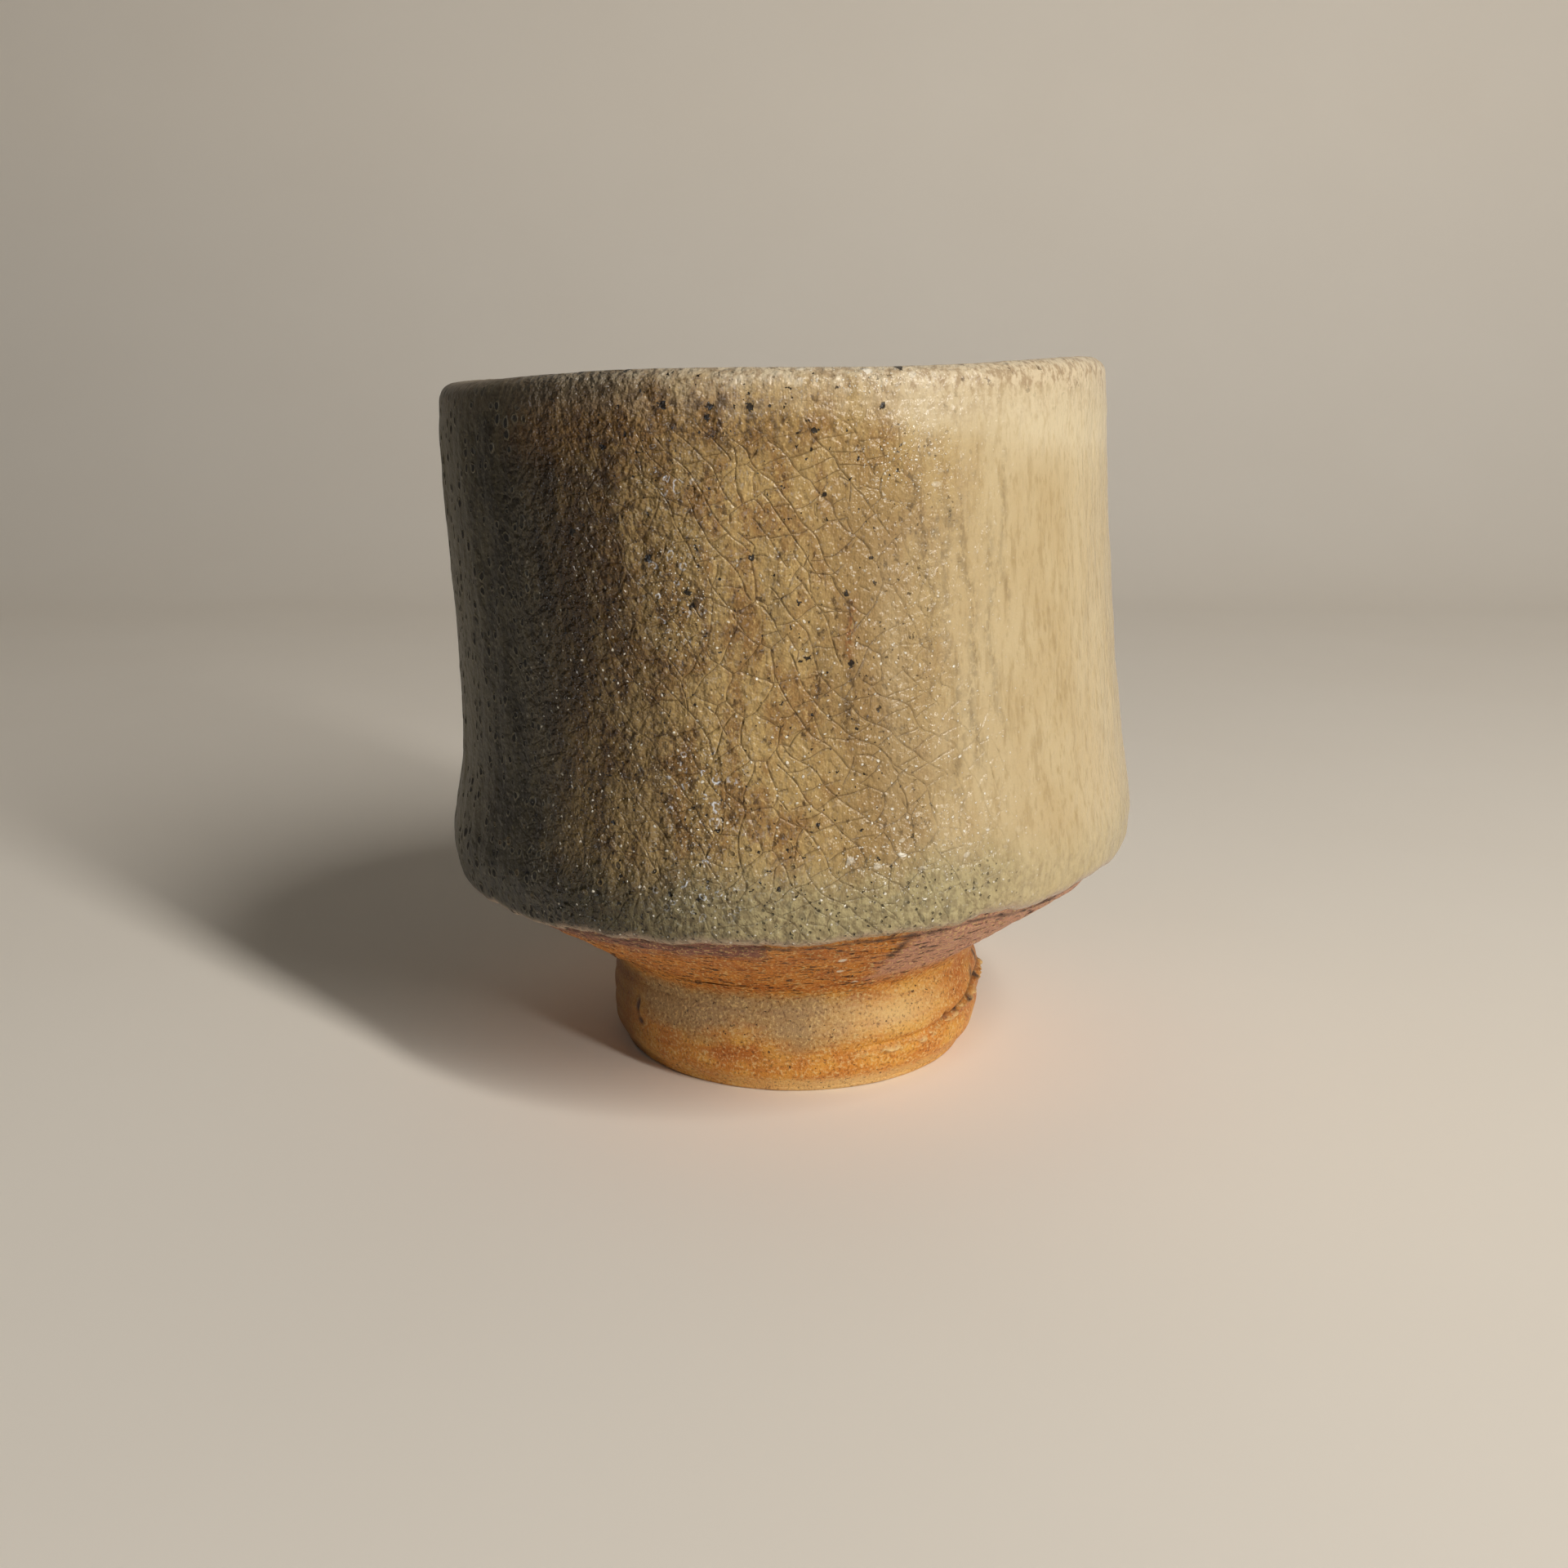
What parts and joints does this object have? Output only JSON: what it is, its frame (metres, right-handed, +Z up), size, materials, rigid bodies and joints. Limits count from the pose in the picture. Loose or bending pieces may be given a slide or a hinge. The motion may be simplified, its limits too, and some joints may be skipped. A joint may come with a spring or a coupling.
{
  "type": "tea bowl",
  "caption": "Hand-thrown stoneware tea bowl with a near-upright wall, rounded low corner, trimmed bare underside, thick thrown foot and crackled ash glaze inside and out.",
  "frame": {"origin": "on the table, under the middle of the bowl's box", "axes": "+Z up, out of the mouth; -Y is the pictured front; +X is the side where the rim stands highest"},
  "size_m": [0.0882, 0.0883, 0.0882],
  "materials": {
    "clay": "bare flashed stoneware, coarse where it was trimmed",
    "foot_clay": "bare flashed stoneware, smooth from throwing",
    "slip": "dry fired slip",
    "outer_glaze": "semi-gloss ash glaze with crackle, pinholes and brown streaks",
    "rim_glaze": "thin pale grainy glaze",
    "inner_glaze": "semi-gloss crackled ash glaze"
  },
  "bodies": {
    "root": {"bowl_body": "clay", "foot_ring": "foot_clay", "luting_slip": "slip", "outer_glaze": "outer_glaze", "rim_glaze": "rim_glaze", "inner_glaze": "inner_glaze"}
  },
  "joints": []
}
